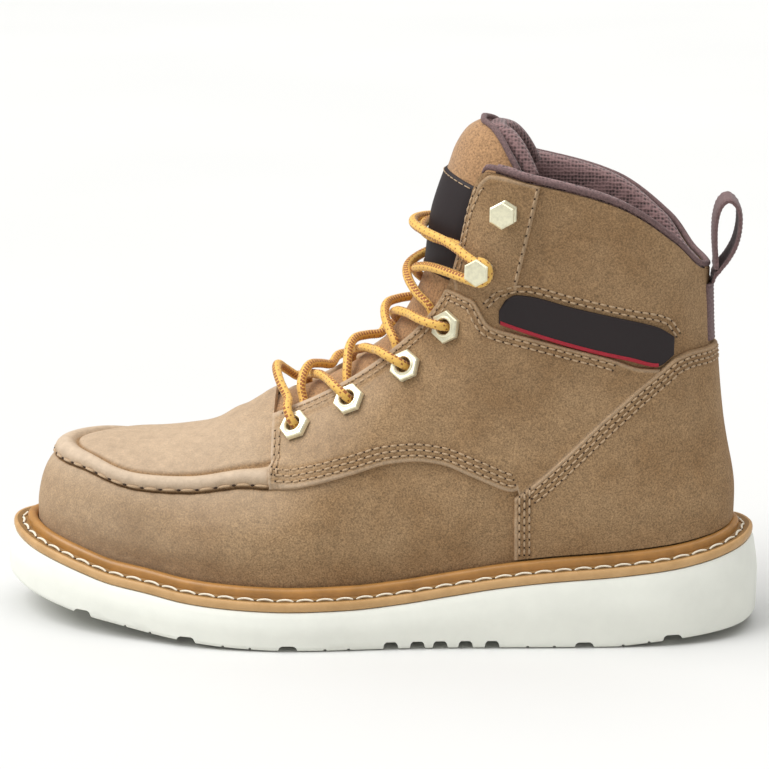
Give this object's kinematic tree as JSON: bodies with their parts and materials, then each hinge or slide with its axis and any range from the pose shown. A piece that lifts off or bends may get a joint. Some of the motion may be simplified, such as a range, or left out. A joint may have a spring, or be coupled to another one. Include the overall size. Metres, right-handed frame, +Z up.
{
  "type": "wedge sole work boot",
  "caption": "Ankle-high moc-toe work boot with a stitched storm welt, thick pale wedge sole, laced throat with eyelets and hooks, padded collar and heel pull loop.",
  "frame": {"origin": "centre of the sole's footprint box, on the ground", "axes": "-X towards the toe, +X towards the heel, -Y lateral side of the left foot, +Z up"},
  "size_m": [0.31, 0.1128, 0.2055],
  "materials": {
    "nubuck": "matte nubuck",
    "nubuck_panel": "matte nubuck",
    "tongue_suede": "napped suede",
    "lining_mesh": "padded mesh",
    "webbing": "ribbed webbing",
    "badge": "satin",
    "sole_rubber": "matte",
    "welt": "waxed satin",
    "fitting": "pale satin plate",
    "lace_cord": "round braid",
    "insole_board": "matte"
  },
  "bodies": {
    "root": {"badge_lateral": "badge", "badge_medial": "badge", "collar_piping": "webbing", "eyelet_lateral_1": "fitting", "eyelet_lateral_2": "fitting", "eyelet_lateral_3": "fitting", "eyelet_lateral_4": "fitting", "eyelet_medial_1": "fitting", "eyelet_medial_2": "fitting", "eyelet_medial_3": "fitting", "eyelet_medial_4": "fitting", "heel_counter": "nubuck_panel", "hook_lateral_1": "fitting", "hook_lateral_2": "fitting", "hook_medial_1": "fitting", "hook_medial_2": "fitting", "insole": "insole_board", "lace": "lace_cord", "outsole": "sole_rubber", "padded_collar": "lining_mesh", "pull_loop": "webbing", "quarter_lateral": "nubuck_panel", "quarter_medial": "nubuck_panel", "shaft_panel_lateral": "nubuck_panel", "shaft_panel_medial": "nubuck_panel", "tongue": "tongue_suede", "upper": "nubuck", "welt": "welt"}
  },
  "joints": []
}
